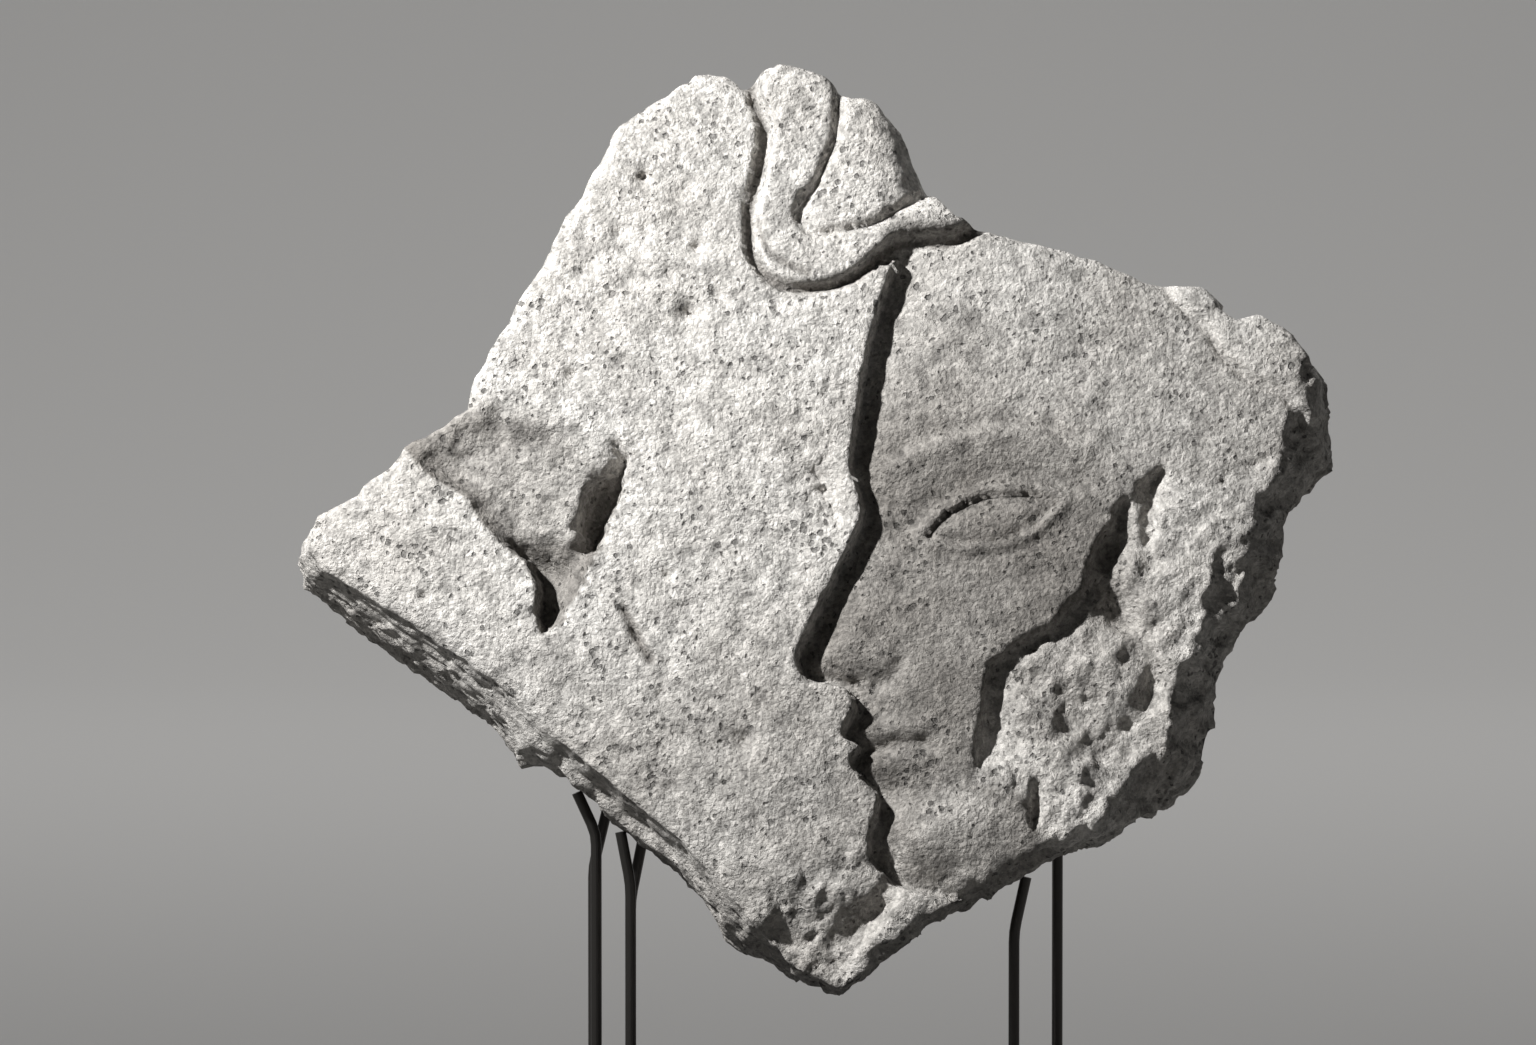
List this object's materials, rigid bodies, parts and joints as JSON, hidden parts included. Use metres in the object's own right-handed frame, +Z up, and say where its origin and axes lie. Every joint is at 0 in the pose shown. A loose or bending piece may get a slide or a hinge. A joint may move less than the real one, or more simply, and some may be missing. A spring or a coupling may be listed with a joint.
{
  "type": "sunk relief fragment on a wire stand",
  "caption": "Broken block of pale stone with a head in profile and a cobra coil cut in sunk relief, leaned back on wire rods over a low foot.",
  "frame": {"origin": "bottom centre of the whole part's box, on the underside of the foot", "axes": "+Z up, -Y out of the carved face, +X to the right as the face is seen"},
  "size_m": [0.3056, 0.13, 0.3183],
  "materials": {
    "stone": "rough, granular, pitted",
    "foot": "satin black paint on wood",
    "wire": "dark, dull, bright where cut"
  },
  "bodies": {
    "root": {"stone": "stone", "foot": "foot", "wire_rod_left_outer_front": "wire", "wire_rod_left_outer_back": "wire", "wire_rod_left_inner_front": "wire", "wire_rod_left_inner_back": "wire", "wire_rod_right_front": "wire", "wire_rod_right_back": "wire"}
  },
  "joints": []
}
